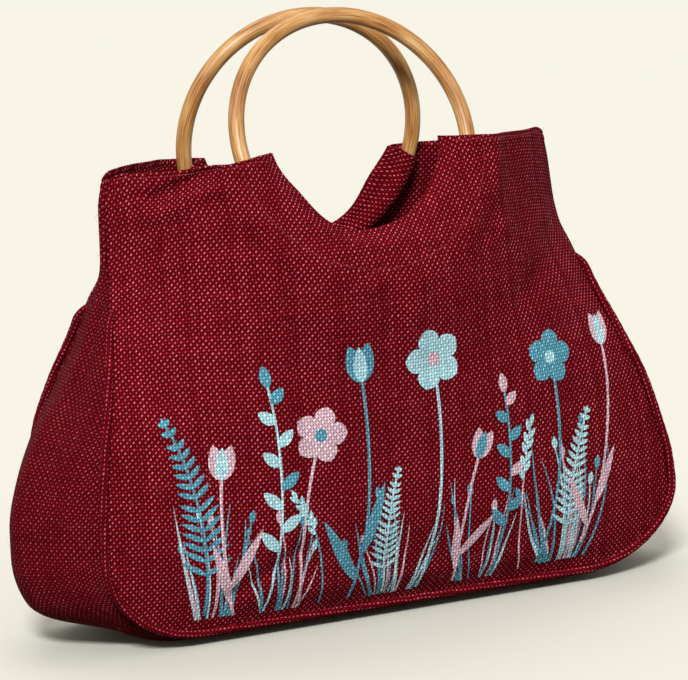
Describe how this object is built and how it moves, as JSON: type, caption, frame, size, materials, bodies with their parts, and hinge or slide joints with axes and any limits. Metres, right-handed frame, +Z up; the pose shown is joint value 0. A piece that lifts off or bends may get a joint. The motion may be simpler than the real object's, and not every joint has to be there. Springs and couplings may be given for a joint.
{
  "type": "ring-handled jute handbag",
  "caption": "Soft jute handbag with full rounded sides, a pinched neck with scooped notches, and two cane ring handles; open at the top.",
  "frame": {"origin": "on the floor, under the middle of the bag's box", "axes": "+Z up, the printed front towards -Y, +X to the right as the front is seen"},
  "size_m": [0.4858, 0.1756, 0.4038],
  "materials": {
    "jute": "coarse plain weave, matt",
    "jute_piping": "bias-cut plain weave over a cord, matt",
    "jute_inside": "plain weave facing, matt",
    "cane": "satin clear varnish"
  },
  "bodies": {
    "root": {"gusset": "jute", "front_panel": "jute", "front_piping": "jute_piping", "front_casing": "jute_inside", "front_ring": "cane", "back_panel": "jute", "back_piping": "jute_piping", "back_casing": "jute_inside", "back_ring": "cane"}
  },
  "joints": []
}
